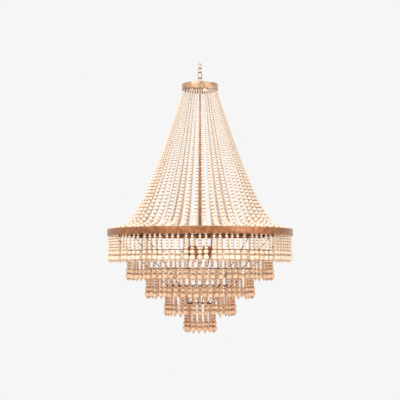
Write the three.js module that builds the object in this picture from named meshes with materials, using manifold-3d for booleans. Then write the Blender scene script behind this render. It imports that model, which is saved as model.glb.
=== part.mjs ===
// A beaded chandelier. A small crown band hangs on three chain links and carries a central stem.
// Strands of graded beads drape from the crown to a wide band, and a stepped basket of five wire
// rings with bead fringes hangs below it on eight sloping rods. The drape and the upper four fringes
// are threaded on bent wires, whose ends butt together into rings.
// Lengths are in millimetres, +Z is up, and the origin is the bearing point inside the top link.

import * as THREE from 'three';
import { mergeVertices } from 'three/addons/utils/BufferGeometryUtils.js';
import Module from 'manifold-3d';

const wasm = await Module();
wasm.setup();

// Clearances and joins
const seatGap = 0.3;            // between two pieces that touch
const swingGap = 0.4;           // between a wire and the eye that turns on it
const joinDepth = 1.5;          // how far two joined solids run into each other
const weldTolerance = 0.0001;   // vertices closer than this are one

// Chain: two like links and a larger link below them, each a quarter turn from the last
const chainWire = 3.5;
const chainLinkLength = 27;
const chainLinkWidth = 22;
const lowerLinkWire = 4;
const lowerLinkLength = 35;
const lowerLinkWidth = 30;
const chainTurn = Math.PI / 4;  // the top link's turn about the vertical

// Crown loop: an eye on a threaded collar
const loopWire = 4;
const loopLength = 30;
const loopWidth = 24;
const loopCollarRadius = 8;
const loopCollarHeight = 9;
const loopFlangeRadius = 12;
const loopFlangeHeight = 3;

// Crown: a band with a four-armed hub inside it
const crownDiameter = 170;
const crownHeight = 30;
const crownWall = 3;
const crownHubDrop = 3.5;       // the hub's top below the band's top edge
const crownHubRadius = 18;
const crownHubHeight = 20;
const crownArmWidth = 10;
const crownArmHeight = 6;
const crownArmDrop = 13;        // the arms' top below the band's top edge
const crownArms = 4;

// Stem: a tube that slips over a spigot at each end
const stemDiameter = 15;
const stemWall = 1.5;
const spigotLength = 16;

// Main band and the spider that ties it to the stem
const bandDiameter = 860;
const bandHeight = 30;
const bandWall = 3;
const bandDrop = 682;           // from the crown band's top edge to the main band's
const spiderArms = 4;
const spiderArmWidth = 10;
const spiderArmHeight = 6;
const spiderCollarWall = 6;
const spiderCollarHeight = 16;
const spiderPadWidth = 26;
const spiderPadThickness = 3;
const spiderPadHeight = 12;

// Basket: five rings of square wire, stepping in evenly, on eight rods
const tierWire = 4;
const tierInset = 7.5;          // from the main band's inner wall to the first ring's wire
const firstTierDrop = 18;       // from the main band's top edge to the first ring
const lastTierRadius = 69;
const tierPitch = 81;
const rodDiameter = 4;
const rodOverhang = 4;          // how far a rod runs past the first and last rings
const rods = 8;
const rodTurn = THREE.MathUtils.degToRad(8);
const fringeStrands = [92, 68, 50, 32];
const fringeArcs = [5, 4, 3, 2];    // the bent wires that butt together into each ring
const swingStrands = 16;
const lastRingFacets = 32;

// Beads of one fringe strand, from the wire down
const strandNeck = 9;
const neckDiameter = 3.6;
const smallBeads = [10, 11, 12, 13, 13, 13];
const mediumBead = 20;
const largeBead = 25;
const tipBead = 9;
const bodySwellShare = 1.1;     // the bead column's swell over its last small bead
const boreShare = 0.42;         // a bead's width where it meets the next, as a share

// Eye of a strand that swings
const eyeWire = 1.8;
const eyeWidth = 2.6;
const eyeSides = 6;

// Drape: graded strands from a ring in the crown to a ring in the main band
const drapeStrands = 48;
const drapeArcs = 4;            // the bent wires that butt together into each hanger ring
const drapeWire = 4;
const drapeInset = 6.5;         // from the crown band's inner wall to its hanger ring
const drapeEndDrop = 8;         // from the main band's top edge to the lower hanger ring
const topBead = 5.5;
const bottomBead = 24;
const drapeNeckDiameter = 2.6;
const drapeEndNeck = 6;         // bare thread between the last bead and the lower hanger ring
const drapeTopLean = THREE.MathUtils.degToRad(17.5);
const drapeEndRise = THREE.MathUtils.degToRad(26);
const drapeHandleShares = [1.16, 0.148];
const drapeGrowth = 1.15;       // the beads grow with this power of the way down
const drapePlainShares = [0.36, 0.63];
const drapeShownBeads = 6;      // the large beads next to the main band, each with its own shape

// Lamp cluster: a six-sided hub with lampholders that lean outwards
const lampholders = 6;
const holderDiameter = 27;
const holderLength = 40;
const holderFootDiameter = 20;
const holderFootLength = 5;
const holderLipDiameter = 30;
const holderLipLength = 4;
const holderBore = 16;
const holderBoreDepth = 27;
const holderLean = THREE.MathUtils.degToRad(18.7);
const hubDrop = 118;            // from the main band's top edge down to the holders' feet
const hubRimRadius = 64;
const hubRimMargin = 22;        // from a holder's axis out to the rim's corners
const hubRimHeight = 5;
const hubCollarRadius = 15;
const hubCollarHeight = 15;
const hubUnderRadius = 24;
const hubUnderDrop = 9;
const finialRadius = 10;
const finialNeckRadius = 4;
const finialHeight = 26;

// Facets
const linkSteps = 20;
const wireSides = 6;
const crownFacets = 36;
const bandFacets = 72;
const roundFacets = 16;
const holderFacets = 8;

// Materials
const bandMetal = new THREE.MeshStandardMaterial({ color: 0xb87a4e, roughness: 0.45, metalness: 0.85 });
const frameMetal = new THREE.MeshStandardMaterial({ color: 0x5a3626, roughness: 0.55, metalness: 0.7 });
const chainMetal = new THREE.MeshStandardMaterial({ color: 0xc79478, roughness: 0.4, metalness: 0.85 });
const paleWood = new THREE.MeshStandardMaterial({ color: 0xf6e7d2, roughness: 0.75, metalness: 0 });
const warmWood = new THREE.MeshStandardMaterial({ color: 0xe3bd99, roughness: 0.75, metalness: 0 });

// Heights, worked down from the bearing point in the top link
const quarterTurn = Math.PI / 2;
const linkTops = [0];
linkTops.push(linkTops[0] - (chainLinkLength - 2 * chainWire) + swingGap);
linkTops.push(linkTops[1] - (chainLinkLength - 2 * chainWire) + swingGap);
const loopTop = linkTops[2] - (lowerLinkLength - 2 * lowerLinkWire) + swingGap;
const loopBottom = loopTop + loopWire - loopLength;
const crownHubTop = loopBottom + joinDepth - loopCollarHeight - seatGap;
const crownTop = crownHubTop + crownHubDrop;
const crownInnerRadius = crownDiameter / 2 - crownWall;
const drapeTopRadius = crownInnerRadius - drapeInset;
const drapeTopHeight = crownTop - crownArmDrop - crownArmHeight - seatGap - drapeWire / 2;
const bandTop = crownTop - bandDrop;
const bandInnerRadius = bandDiameter / 2 - bandWall;
const bandInnerFlat = bandInnerRadius * Math.cos(Math.PI / bandFacets);
const drapeEndRadius = bandInnerFlat - seatGap - drapeWire / 2;
const drapeEndHeight = bandTop - drapeEndDrop;
const firstTierRadius = bandInnerRadius - tierInset;
const firstTierHeight = bandTop - firstTierDrop;
const tierCount = fringeStrands.length + 1;
const tierStepIn = (firstTierRadius - lastTierRadius) / (tierCount - 1);
const holderFootHeight = bandTop - hubDrop;
const hubRise = Math.tan(holderLean);
const holderCircleRadius = hubRimRadius - hubRimMargin;

const tierRadius = (tier) => firstTierRadius - tier * tierStepIn;
const tierHeight = (tier) => firstTierHeight - tier * tierPitch;
const rodRun = new THREE.Vector2(firstTierRadius - lastTierRadius, (tierCount - 1) * tierPitch);
const rodAlong = rodRun.clone().normalize();
const rodAcross = new THREE.Vector2(-rodAlong.y, rodAlong.x);
const squareReach = (tierWire / 2) * (Math.abs(rodAcross.x) + rodAcross.y);

// The last ring is of round wire, so it is moved up to the rods by what its corners lack.
const lastRing = new THREE.Vector2(lastTierRadius, tierHeight(tierCount - 1))
  .addScaledVector(rodAcross, squareReach - tierWire / 2);

// Removes doubled vertices and the empty triangles at poles and seams.
function weld(geometry) {
  const bare = new THREE.BufferGeometry();
  bare.setAttribute('position', geometry.getAttribute('position').clone());
  bare.setIndex(geometry.getIndex());
  const merged = mergeVertices(bare, weldTolerance);
  const corners = merged.getIndex().array;
  const kept = [];
  for (let i = 0; i < corners.length; i += 3) {
    const [a, b, c] = corners.slice(i, i + 3);
    if (a !== b && b !== c && c !== a) kept.push(a, b, c);
  }
  merged.setIndex(kept);
  return merged;
}

function toSolid(geometry) {
  const welded = weld(geometry);
  return new wasm.Manifold(new wasm.Mesh({
    numProp: 3,
    vertProperties: new Float32Array(welded.getAttribute('position').array),
    triVerts: new Uint32Array(welded.getIndex().array),
  }));
}

function toGeometry(solid) {
  const mesh = solid.getMesh();
  const geometry = new THREE.BufferGeometry();
  geometry.setAttribute('position', new THREE.BufferAttribute(mesh.vertProperties, 3));
  geometry.setIndex(new THREE.BufferAttribute(mesh.triVerts, 1));
  return geometry;
}

function join(geometries) {
  const [first, ...others] = geometries.map(toSolid);
  return toGeometry(others.reduce((sum, solid) => sum.add(solid), first));
}

// Turns an outline of [radius, height] points about the vertical, with its first corner at azimuth.
function revolve(outline, facets, azimuth = 0) {
  const points = outline.map(([radius, height]) => new THREE.Vector2(radius, height));
  return new THREE.LatheGeometry(points, facets, azimuth + quarterTurn).rotateX(quarterTurn);
}

// A ring whose square section is centred at radius and height.
function hoop(radius, height, width, depth, facets, azimuth = 0) {
  const inner = radius - width / 2;
  const outer = radius + width / 2;
  const low = height - depth / 2;
  const high = height + depth / 2;
  return revolve([[inner, low], [outer, low], [outer, high], [inner, high], [inner, low]], facets, azimuth);
}

function block(width, depth, height, x, y, z) {
  return new THREE.BoxGeometry(width, depth, height).translate(x, y, z);
}

// Joins sections of equally many points and closes the first and the last. Each section's points go
// anticlockwise as seen along the run.
function loft(sections) {
  const sides = sections[0].length;
  const last = (sections.length - 1) * sides;
  const faces = [];
  for (let i = 0; i < last; i += sides) {
    for (let j = 0; j < sides; j += 1) {
      const next = (j + 1) % sides;
      faces.push(i + j, i + sides + j, i + next);
      faces.push(i + next, i + sides + j, i + sides + next);
    }
  }
  for (let j = 1; j < sides - 1; j += 1) {
    faces.push(0, j, j + 1);
    faces.push(last, last + j + 1, last + j);
  }
  const geometry = new THREE.BufferGeometry().setFromPoints(sections.flat());
  geometry.setIndex(faces);
  return geometry;
}

// Carries a regular section along stations {radius, height, width} that lie in one upright plane
// through the axis. The section stays square to the path, and a station of no width is a point.
function strand(stations, sides, azimuth, sectionTurn = 0) {
  const outward = new THREE.Vector3(Math.cos(azimuth), Math.sin(azimuth), 0);
  const sideways = new THREE.Vector3(-Math.sin(azimuth), Math.cos(azimuth), 0);
  const sections = stations.map((station, i) => {
    const before = stations[Math.max(i - 1, 0)];
    const after = stations[Math.min(i + 1, stations.length - 1)];
    const run = new THREE.Vector2(after.radius - before.radius, after.height - before.height).normalize();
    const across = outward.clone().multiplyScalar(-run.y).setZ(run.x);
    return Array.from({ length: sides }, (_, j) => {
      const turn = sectionTurn + (2 * Math.PI * j) / sides;
      const point = outward.clone().multiplyScalar(station.radius).setZ(station.height);
      point.addScaledVector(across, (Math.cos(turn) * station.width) / 2);
      return point.addScaledVector(sideways, (Math.sin(turn) * station.width) / 2);
    });
  });
  return loft(sections);
}

// The corners of a ring's facets from one to another, as azimuths. Facet 0 faces along +X.
function facetCorners(facets, first, end) {
  const pitch = (2 * Math.PI) / facets;
  return Array.from({ length: end - first + 1 }, (_, i) => (first + i - 1 / 2) * pitch);
}

// A square wire bent through those corners and cut short by half a gap at both ends.
function bentWire(radius, height, wire, corners) {
  const trim = seatGap / 2 / radius;
  const turns = corners.slice();
  turns[0] += trim;
  turns[turns.length - 1] -= trim;
  const half = wire / 2;
  const square = [[-half, -half], [half, -half], [half, half], [-half, half]];
  return loft(turns.map((turn) => square.map(([out, up]) => {
    const reach = radius + out;
    return new THREE.Vector3(reach * Math.cos(turn), reach * Math.sin(turn), height + up);
  })));
}

// Shares a ring's strands out to its arcs, and calls back with each arc's number, first strand and end.
function eachArc(strands, arcs, make) {
  for (let i = 0; i < arcs; i += 1) {
    const first = Math.round((strands * i) / arcs);
    make(i + 1, first, Math.round((strands * (i + 1)) / arcs));
  }
}

// A chain link: a torus drawn out along its length, standing upright with its plane at azimuth.
function linkShape(length, width, wire, innerTop, azimuth) {
  const geometry = new THREE.TorusGeometry((width - wire) / 2, wire / 2, wireSides, linkSteps);
  const stretch = (length - width) / 2;
  const place = geometry.getAttribute('position');
  for (let i = 0; i < place.count; i += 1) {
    const y = place.getY(i);
    const isSide = Math.abs(y) < wire;
    place.setY(i, y + (isSide ? 0 : Math.sign(y) * stretch));
  }
  const centre = innerTop + wire - length / 2;
  return weld(geometry.rotateX(quarterTurn).rotateZ(azimuth).translate(0, 0, centre));
}

const chandelier = new THREE.Group();

function addMesh(name, geometry, material) {
  const welded = weld(geometry);
  welded.computeVertexNormals();
  const mesh = new THREE.Mesh(welded, material);
  mesh.name = name;
  chandelier.add(mesh);
  return mesh;
}

function addChain() {
  const names = ['chain_link_top', 'chain_link_middle'];
  names.forEach((name, i) => {
    const turn = chainTurn - i * quarterTurn;
    addMesh(name, linkShape(chainLinkLength, chainLinkWidth, chainWire, linkTops[i], turn), chainMetal);
  });
  const lower = linkShape(lowerLinkLength, lowerLinkWidth, lowerLinkWire, linkTops[2], chainTurn);
  addMesh('chain_link_lower', lower, chainMetal);
}

function addCrownLoop() {
  const eye = linkShape(loopLength, loopWidth, loopWire, loopTop, chainTurn - quarterTurn);
  const collarTop = loopBottom + joinDepth;
  const collarBottom = collarTop - loopCollarHeight;
  const flangeTop = collarBottom + loopFlangeHeight;
  const collar = revolve([
    [0, collarBottom], [loopFlangeRadius, collarBottom], [loopFlangeRadius, flangeTop],
    [loopCollarRadius, flangeTop], [loopCollarRadius, collarTop], [0, collarTop],
  ], roundFacets);
  addMesh('crown_loop', join([eye, collar]), chainMetal);
}

function addCrown() {
  const bandMiddle = crownTop - crownHeight / 2;
  const bandRadius = crownDiameter / 2 - crownWall / 2;
  const band = hoop(bandRadius, bandMiddle, crownWall, crownHeight, crownFacets, Math.PI / crownFacets);
  addMesh('crown_band', band, bandMetal);

  const hubBottom = crownHubTop - crownHubHeight;
  const spigotRadius = stemDiameter / 2 - stemWall - seatGap;
  const spigotBottom = hubBottom - seatGap - spigotLength;
  const hub = revolve([
    [0, spigotBottom], [spigotRadius, spigotBottom], [spigotRadius, hubBottom],
    [crownHubRadius, hubBottom], [crownHubRadius, crownHubTop], [0, crownHubTop],
  ], roundFacets);
  const reach = crownInnerRadius * Math.cos(Math.PI / crownFacets) - seatGap;
  const armMiddle = crownTop - crownArmDrop - crownArmHeight / 2;
  const parts = [hub];
  for (let i = 0; i < crownArms; i += 1) {
    const arm = block(reach, crownArmWidth, crownArmHeight, reach / 2, 0, armMiddle);
    parts.push(arm.rotateZ((2 * Math.PI * i) / crownArms));
  }
  addMesh('crown_hub', join(parts), frameMetal);
}

function addStem() {
  const top = crownHubTop - crownHubHeight - seatGap;
  const bottom = holderFootHeight + hubCollarHeight + holderCircleRadius * hubRise
    - hubCollarRadius * hubRise + seatGap;
  const outer = stemDiameter / 2;
  const middle = (top + bottom) / 2;
  addMesh('stem', hoop(outer - stemWall / 2, middle, stemWall, top - bottom, roundFacets), bandMetal);
}

function addMainBand() {
  const bandRadius = bandDiameter / 2 - bandWall / 2;
  const middle = bandTop - bandHeight / 2;
  const band = hoop(bandRadius, middle, bandWall, bandHeight, bandFacets, Math.PI / bandFacets);
  addMesh('main_band', band, bandMetal);
}

// The arms pass under the first ring, between fringe strands, and end in pads on the band's wall.
function addSpider() {
  const armTop = firstTierHeight - tierWire / 2 - seatGap;
  const armMiddle = armTop - spiderArmHeight / 2;
  const bore = stemDiameter / 2 + seatGap;
  const collarRadius = bore + spiderCollarWall / 2;
  const collar = hoop(collarRadius, armMiddle, spiderCollarWall, spiderCollarHeight, roundFacets);
  const reach = bandInnerFlat - seatGap;
  const start = bore + spiderCollarWall / 2;
  const padMiddle = reach - spiderPadThickness / 2;
  const padHeight = armTop - spiderPadHeight / 2;
  const parts = [collar];
  for (let i = 0; i < spiderArms; i += 1) {
    const turn = (2 * Math.PI * (i + 1 / 2)) / spiderArms;
    const length = reach - start;
    const arm = block(length, spiderArmWidth, spiderArmHeight, start + length / 2, 0, armMiddle);
    const pad = block(spiderPadThickness, spiderPadWidth, spiderPadHeight, padMiddle, 0, padHeight);
    parts.push(arm.rotateZ(turn), pad.rotateZ(turn));
  }
  addMesh('band_spider', join(parts), frameMetal);
}

// A strand's route is one cubic curve. It leaves the crown at a lean, hangs in, and flares out to
// the main band, where its heaviest beads lie almost flat. Its upper part is a plain taper, and the
// large beads by the main band each touch the next.
function drapeStations() {
  const drop = drapeTopHeight - drapeEndHeight;
  const [topHandle, endHandle] = drapeHandleShares.map((share) => share * drop);
  const start = new THREE.Vector2(drapeTopRadius, drapeTopHeight);
  const end = new THREE.Vector2(drapeEndRadius, drapeEndHeight);
  const topPull = new THREE.Vector2(Math.sin(drapeTopLean), -Math.cos(drapeTopLean));
  const endPull = new THREE.Vector2(-Math.cos(drapeEndRise), Math.sin(drapeEndRise));
  const firstHandle = topPull.multiplyScalar(topHandle).add(start);
  const lastHandle = endPull.multiplyScalar(endHandle).add(end);
  const route = new THREE.CubicBezierCurve(start, firstHandle, lastHandle, end);
  const beadAt = (share) => topBead + (bottomBead - topBead) * share ** drapeGrowth;
  const stationAt = (share, width) => {
    const point = route.getPointAt(share);
    return { radius: point.x, height: point.y, width };
  };

  const upward = [stationAt(1, drapeNeckDiameter)];
  const length = route.getLength();
  let share = 1 - drapeEndNeck / length;
  for (let i = 0; i < drapeShownBeads; i += 1) {
    const bead = beadAt(share);
    upward.push(stationAt(share, bead * boreShare));
    upward.push(stationAt(share - bead / 2 / length, bead));
    share -= bead / length;
  }
  upward.push(stationAt(share, beadAt(share) * boreShare));
  share -= beadAt(share) / 2 / length;
  upward.push(stationAt(share, beadAt(share)));
  const plain = drapePlainShares.map((plainShare) => stationAt(plainShare, beadAt(plainShare)));
  return [stationAt(0, drapeNeckDiameter), ...plain, ...upward.reverse()];
}

// The drape is turned by half a pitch, so that the stem shows between its two front strands.
function addDrape() {
  const stations = drapeStations();
  eachArc(drapeStrands, drapeArcs, (number, first, end) => {
    const corners = facetCorners(drapeStrands, first, end);
    const parts = [
      bentWire(drapeTopRadius, drapeTopHeight, drapeWire, corners),
      bentWire(drapeEndRadius, drapeEndHeight, drapeWire, corners),
    ];
    for (let i = first; i < end; i += 1) {
      parts.push(strand(stations, 3, (2 * Math.PI * i) / drapeStrands));
    }
    addMesh(`drape_arc_${number}`, join(parts).rotateZ(Math.PI / drapeStrands), paleWood);
  });
}

// The outline of a fringe strand in few stations: the column of small beads, then the large bead.
function fringeStations(radius, height) {
  const columnLength = strandNeck + smallBeads.reduce((sum, bead) => sum + bead, 0);
  const lastSmall = smallBeads[smallBeads.length - 1];
  const largeMiddle = columnLength + mediumBead + largeBead / 2;
  const end = columnLength + mediumBead + largeBead + tipBead;
  return [
    { radius, height, width: neckDiameter },
    { radius, height: height - columnLength, width: lastSmall * bodySwellShare },
    { radius, height: height - largeMiddle, width: largeBead },
    { radius, height: height - end, width: 0 },
  ];
}

function addFringes() {
  fringeStrands.forEach((count, tier) => {
    const height = tierHeight(tier);
    const radius = tierRadius(tier);
    const stations = fringeStations(radius * Math.cos(Math.PI / count), height);
    eachArc(count, fringeArcs[tier], (number, first, end) => {
      const parts = [bentWire(radius, height, tierWire, facetCorners(count, first, end))];
      for (let i = first; i < end; i += 1) {
        parts.push(strand(stations, 3, (2 * Math.PI * i) / count));
      }
      addMesh(`fringe_${tier + 1}_arc_${number}`, join(parts), tier === 0 ? paleWood : warmWood);
    });
  });
}

function addLastRing() {
  const section = [];
  for (let i = 0; i <= wireSides; i += 1) {
    const point = new THREE.Vector2(tierWire / 2, 0)
      .rotateAround(new THREE.Vector2(), (2 * Math.PI * i) / wireSides)
      .add(lastRing);
    section.push([point.x, point.y]);
  }
  const firstCorner = strandTurn(0) + Math.PI / lastRingFacets;
  addMesh('tier_ring_5', revolve(section, lastRingFacets, firstCorner), frameMetal);
}

// The swinging strands hang midway between the rods.
function strandTurn(i) {
  const pitch = (2 * Math.PI) / swingStrands;
  return rodTurn + pitch / 2 + i * pitch;
}

// One strand with all its beads. Each bead is a waist, a belly and the next waist.
function beadStations(radius, top) {
  const beads = [...smallBeads, mediumBead, largeBead, tipBead];
  const stations = [{ radius, height: top, width: neckDiameter }];
  let height = top - strandNeck;
  stations.push({ radius, height, width: beads[0] * boreShare });
  beads.forEach((bead, i) => {
    const isLast = i === beads.length - 1;
    const waist = isLast ? 0 : Math.min(bead, beads[i + 1]) * boreShare;
    stations.push({ radius, height: height - bead / 2, width: bead });
    height -= bead;
    stations.push({ radius, height, width: waist });
  });
  return stations;
}

function addSwingStrands() {
  const radius = lastRing.x * Math.cos(Math.PI / lastRingFacets);
  const height = lastRing.y;
  const eyeInner = (tierWire / 2 + swingGap) / Math.cos(Math.PI / eyeSides);
  const eyeOuter = eyeInner + eyeWire;
  const eyeMiddle = (eyeInner + eyeOuter) / 2;
  const stations = beadStations(radius, height - eyeMiddle);
  stations[0].width = Math.min(neckDiameter, eyeWidth);
  for (let i = 0; i < swingStrands; i += 1) {
    const turn = strandTurn(i);
    const eye = hoop(eyeMiddle, 0, eyeWire, eyeWidth, eyeSides).rotateX(quarterTurn);
    eye.translate(radius, 0, height).rotateZ(turn);
    const beads = strand(stations, 4, turn, Math.PI / 4);
    addMesh(`strand_${String(i + 1).padStart(2, '0')}`, join([eye, beads]), warmWood);
  }
}

// Each rod lies against the inner, upper side of every ring.
function addRods() {
  const offset = squareReach + seatGap + rodDiameter / 2;
  const length = rodRun.length() + 2 * rodOverhang;
  const middle = new THREE.Vector2(firstTierRadius, firstTierHeight)
    .addScaledVector(rodRun, -1 / 2)
    .addScaledVector(rodAcross, offset);
  const tilt = Math.atan2(rodAlong.x, rodAlong.y);
  for (let i = 0; i < rods; i += 1) {
    const rod = new THREE.CylinderGeometry(rodDiameter / 2, rodDiameter / 2, length, wireSides);
    rod.rotateX(quarterTurn).rotateY(tilt).translate(middle.x, 0, middle.y);
    addMesh(`rod_${i + 1}`, rod.rotateZ(rodTurn + (2 * Math.PI * i) / rods), frameMetal);
  }
}

// The hub's six upper faces slope so that each stands square to its lampholder.
function addLampHub() {
  const peak = holderFootHeight + holderCircleRadius * hubRise;
  const cornerFall = hubRise * Math.cos(Math.PI / lampholders);
  const slopeAt = (radius) => peak - radius * cornerFall;
  const collarTop = holderFootHeight + (holderCircleRadius - hubCollarRadius) * hubRise + hubCollarHeight;
  const rimTop = slopeAt(hubRimRadius);
  const underside = rimTop - hubRimHeight - hubUnderDrop;
  const body = revolve([
    [0, underside], [hubUnderRadius, underside], [hubRimRadius, rimTop - hubRimHeight],
    [hubRimRadius, rimTop], [0, peak],
  ], lampholders, Math.PI / lampholders);
  const spigotRadius = stemDiameter / 2 - stemWall - seatGap;
  const spigotTop = collarTop + spigotLength;
  const collar = revolve([
    [0, underside + joinDepth], [spigotRadius, underside + joinDepth],
    [hubCollarRadius, slopeAt(hubRimRadius)], [hubCollarRadius, collarTop],
    [spigotRadius, collarTop], [spigotRadius, spigotTop], [0, spigotTop],
  ], roundFacets);
  addMesh('lamp_hub', join([body, collar]), frameMetal);

  const finialTop = underside - seatGap;
  const ballMiddle = finialTop - finialHeight / 2;
  const finial = revolve([
    [0, finialTop - finialHeight], [finialNeckRadius, ballMiddle - finialRadius],
    [finialRadius, ballMiddle], [finialNeckRadius, ballMiddle + finialRadius],
    [finialRadius, finialTop], [0, finialTop],
  ], roundFacets);
  addMesh('hub_finial', finial, bandMetal);
}

// A lampholder stands on its foot, widens to its shell and ends in a lip round the lamp's bore.
function addLampholders() {
  const foot = holderFootDiameter / 2;
  const shell = holderDiameter / 2;
  const lip = holderLipDiameter / 2;
  const lipStart = holderLength - holderLipLength;
  const bore = holderBore / 2;
  const boreFloor = holderLength - holderBoreDepth;
  for (let i = 0; i < lampholders; i += 1) {
    const holder = revolve([
      [0, seatGap], [foot, seatGap], [shell, holderFootLength], [shell, lipStart], [lip, lipStart],
      [lip, holderLength], [bore, holderLength], [bore, boreFloor], [0, boreFloor],
    ], holderFacets, Math.PI / holderFacets);
    holder.rotateY(holderLean).translate(holderCircleRadius, 0, holderFootHeight);
    const turn = (2 * Math.PI * i) / lampholders;
    addMesh(`lampholder_${i + 1}`, holder.rotateZ(turn), frameMetal);
  }
}

addChain();
addCrownLoop();
addCrown();
addStem();
addMainBand();
addSpider();
addDrape();
addFringes();
addLastRing();
addSwingStrands();
addRods();
addLampHub();
addLampholders();

export default chandelier;
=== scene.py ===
import math

import bpy
import numpy as np
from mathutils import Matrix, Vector


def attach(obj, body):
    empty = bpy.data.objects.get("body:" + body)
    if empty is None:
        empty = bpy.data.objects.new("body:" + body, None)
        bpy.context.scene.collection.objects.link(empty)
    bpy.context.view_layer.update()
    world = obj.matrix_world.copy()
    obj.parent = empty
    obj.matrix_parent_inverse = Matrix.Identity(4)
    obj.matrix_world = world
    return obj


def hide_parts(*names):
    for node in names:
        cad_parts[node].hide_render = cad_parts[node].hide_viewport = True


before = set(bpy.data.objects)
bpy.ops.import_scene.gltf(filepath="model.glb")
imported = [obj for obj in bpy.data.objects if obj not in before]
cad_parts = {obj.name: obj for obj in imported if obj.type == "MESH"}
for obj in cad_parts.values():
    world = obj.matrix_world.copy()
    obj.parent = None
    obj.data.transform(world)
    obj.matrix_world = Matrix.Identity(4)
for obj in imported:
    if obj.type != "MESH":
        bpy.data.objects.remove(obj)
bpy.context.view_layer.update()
print("frame:", len(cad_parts), "nodes")

scene = bpy.context.scene
scene.view_settings.view_transform = "Standard"


def nodesOf(start):
    return sorted(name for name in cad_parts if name.startswith(start))


def pointsOf(start):
    # the corners of every node whose name starts so
    clouds = []
    for name in nodesOf(start):
        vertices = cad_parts[name].data.vertices
        points = np.empty(len(vertices) * 3, np.float32)
        vertices.foreach_get("co", points)
        clouds.append(points.reshape(-1, 3).astype(float))
    return np.concatenate(clouds)


def span(start, direction=(0, 0, 1)):
    # the least and most that any of these points lies along a direction
    along = pointsOf(start) @ np.array(direction, float)
    return along.min(), along.max()


def offAxis(points):
    # each point's distance from the stem's axis
    return np.hypot(points[:, 0], points[:, 1])


def ringOf(start, wire, sides):
    # the radius and height of the wire at the top of these nodes, one of whose sides faces up
    points = pointsOf(start)
    height = points[:, 2].max() - wire / 2 * math.cos(math.pi / sides)
    distance = offAxis(points[np.abs(points[:, 2] - height) < wire / 2])
    return (distance.min() + distance.max()) / 2, height


# Camera

photoView = {
    "metresPerPixel": 0.00465,  # at the stem
    "focalPixels": 980,
    "framePixels": 400,
    "sensorWidth": 36,
    "eyeHeight": -0.947,
    "tiltDegrees": 3.85,  # upwards
}


def addCamera():
    camera = bpy.data.objects.new("camera", bpy.data.cameras.new("camera"))
    scene.collection.objects.link(camera)
    camera.data.sensor_width = photoView["sensorWidth"]
    camera.data.lens = photoView["sensorWidth"] * photoView["focalPixels"] / photoView["framePixels"]
    distance = photoView["focalPixels"] * photoView["metresPerPixel"]
    camera.location = (0, -distance, photoView["eyeHeight"])
    camera.rotation_euler = (math.radians(90 + photoView["tiltDegrees"]), 0, 0)
    scene.camera = camera


addCamera()
print("camera: placed")


# Shader maths


class Value:
    # a number that a node gives, so that maths on it can be written as it is said
    def __init__(self, finish, socket):
        self.finish = finish
        self.socket = socket

    def maths(self, operation, first, second=0):
        return self.finish.node("Math", [first, second], operation=operation)

    def __add__(self, other):
        return self.maths("ADD", self, other)

    def __sub__(self, other):
        return self.maths("SUBTRACT", self, other)

    def __mul__(self, other):
        return self.maths("MULTIPLY", self, other)

    def __rsub__(self, other):
        return self.maths("SUBTRACT", other, self)

    __radd__ = __add__
    __rmul__ = __mul__

    def size(self):
        return self.maths("ABSOLUTE", self)

    def larger(self, other):
        return self.maths("MAXIMUM", self, other)

    def wave(self):
        # swings between 0 and 1
        return self.maths("SINE", self) * 0.5 + 0.5

    def between(self, low, high):
        # turns 0 to 1 into low to high
        return self * (high - low) + low

    def ramp(self, low, high):
        # 0 up to low, 1 from high, and a smooth slope between them
        sockets = {"Value": self, "From Min": low, "From Max": high}
        return self.finish.node("MapRange", sockets, interpolation_type="SMOOTHSTEP")


class Finish:
    # a material or a world, and the one method that adds its nodes
    def __init__(self, name, family=bpy.data.materials):
        self.owner = family.new(name)
        self.owner.use_nodes = True
        self.tree = self.owner.node_tree
        self.tree.nodes.clear()

    def node(self, kind, sockets=(), output=0, **settings):
        # settings come first, and then the values or links of the sockets, by name or by number
        made = self.tree.nodes.new("ShaderNode" + kind)
        for name, setting in settings.items():
            setattr(made, name, setting)
        for name, given in sockets.items() if isinstance(sockets, dict) else enumerate(sockets):
            if isinstance(given, Value):
                self.tree.links.new(given.socket, made.inputs[name])
            else:
                made.inputs[name].default_value = given
        return Value(self, made.outputs[output]) if len(made.outputs) else made

    def blend(self, factor, first, second):
        # Two colours, from nodes or as read off a screen. The Mix node's colour sockets are its
        # inputs 6 and 7, and its colour output is 2.
        ends = [end if isinstance(end, Value) else linear(*end) for end in (first, second)]
        return self.node("Mix", {0: factor, 6: ends[0], 7: ends[1]}, 2, data_type="RGBA")

    def place(self, scale=(1, 1, 1), shift=(0, 0, 0)):
        # object coordinates, stretched and moved
        where = self.node("TexCoord", output="Object")
        return self.node("Mapping", {"Vector": where, "Location": shift, "Scale": scale})

    def noise(self, where, scale, detail=2.0, roughness=0.5):
        sockets = {"Vector": where, "Scale": scale, "Detail": detail, "Roughness": roughness}
        return self.node("TexNoise", sockets)

    def seen(self):
        # 1 where the camera, a reflection or a clear solid looks, and 0 where light is gathered
        names = ("Is Camera Ray", "Is Glossy Ray", "Is Transmission Ray")
        first, second, third = [self.node("LightPath", output=name) for name in names]
        return first.larger(second).larger(third)

    def surface(self, colour, roughness, relief, look):
        # The one shader that the object's finishes end in. The depth of the relief is in metres, and
        # a lacquer is a clear coat's weight and roughness.
        sockets = {"Base Color": colour, "Roughness": roughness, "Metallic": look.get("metallic", 0.0)}
        sockets["Coat Weight"], sockets["Coat Roughness"] = look.get("lacquer", (0.0, 0.0))
        sockets["Normal"] = self.node("Bump", {"Height": relief, "Distance": look["reliefDepth"]})
        self.node("OutputMaterial", {"Surface": self.node("BsdfPrincipled", sockets)})
        return self.owner


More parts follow.
